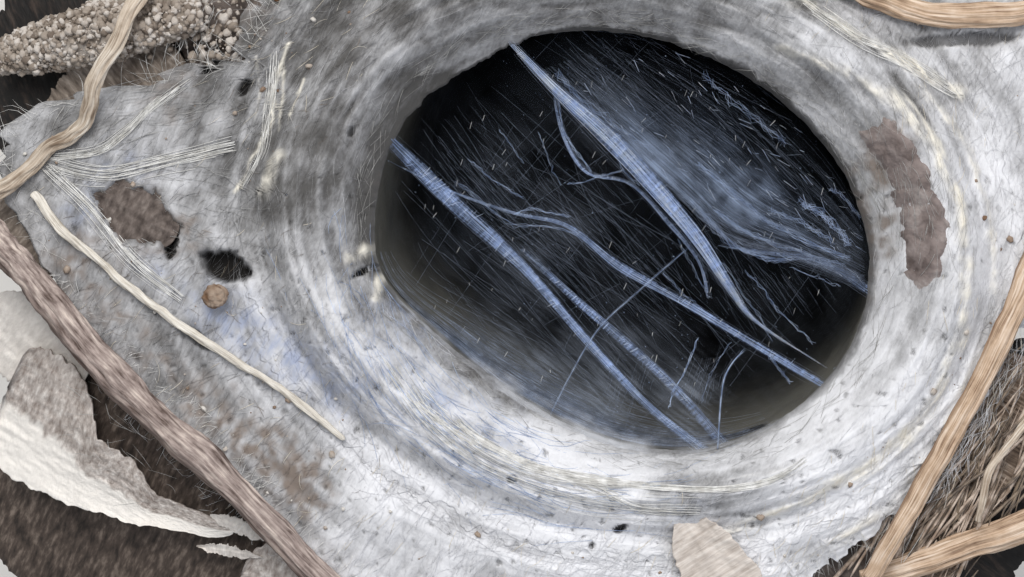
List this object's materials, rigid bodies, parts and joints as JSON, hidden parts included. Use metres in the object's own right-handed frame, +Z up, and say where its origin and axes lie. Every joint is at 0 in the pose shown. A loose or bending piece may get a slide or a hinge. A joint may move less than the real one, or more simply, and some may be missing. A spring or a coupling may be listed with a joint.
{
  "type": "silk-lined spider burrow mouth",
  "caption": "Mouth and first stretch of a spider's open burrow: a felted silk apron and collar over a closed, silk-lined tube, with silk ribbons across the throat and litter bound in.",
  "frame": {"origin": "centre of the flat foot under the closed end of the lining, on the surface that it stands on", "axes": "+Z up out of the burrow; +X to the right and +Y away, as the mouth is seen in the picture; the apron is longest along X"},
  "size_m": [0.0627, 0.0463, 0.0484],
  "materials": {
    "felted_silk": "matte",
    "soil_bound_silk": "matte",
    "silk_ribbon": "satin",
    "weathered_twig": "matte",
    "dead_grass": "satin",
    "pale_dead_leaf": "matte",
    "dark_dead_leaf": "matte",
    "bleached_leaf": "matte",
    "bleached_bark": "matte",
    "brown_bark": "matte",
    "dry_clay": "matte",
    "tan_grain": "matte"
  },
  "bodies": {
    "root": {"apron_back": "felted_silk", "apron_front": "felted_silk", "apron_left": "felted_silk", "apron_right": "felted_silk", "bark_left": "bleached_bark", "bark_right": "brown_bark", "clay_patch": "dry_clay", "collar": "felted_silk", "grain_left": "tan_grain", "leaf_back": "pale_dead_leaf", "leaf_back_left": "pale_dead_leaf", "leaf_back_right": "dark_dead_leaf", "leaf_deep_back_left": "dark_dead_leaf", "leaf_deep_left": "dark_dead_leaf", "leaf_deep_right": "dark_dead_leaf", "leaf_front": "dark_dead_leaf", "leaf_front_left": "bleached_bark", "leaf_left": "dark_dead_leaf", "leaf_right": "pale_dead_leaf", "leaf_tip_front": "bleached_leaf", "lining_end": "soil_bound_silk", "lining_middle": "soil_bound_silk", "lining_upper": "soil_bound_silk", "ribbon_left": "silk_ribbon", "ribbon_left_fork": "silk_ribbon", "ribbon_middle": "silk_ribbon", "ribbon_right": "silk_ribbon", "ribbon_right_fork": "silk_ribbon", "ribbon_veil_edge": "silk_ribbon", "root_back": "weathered_twig", "root_front": "weathered_twig", "root_left": "weathered_twig", "root_right": "weathered_twig", "rootlet_left": "dead_grass", "soil_ridge": "dry_clay", "stem_back_left": "dead_grass", "stem_back_right": "dead_grass", "stem_front_right": "dead_grass", "stem_right": "dead_grass", "thread_cross": "silk_ribbon", "thread_fork": "silk_ribbon", "twig_back": "weathered_twig", "twig_front_right": "weathered_twig", "twig_left": "weathered_twig", "veil_fan": "silk_ribbon", "veil_front": "silk_ribbon"}
  },
  "joints": []
}
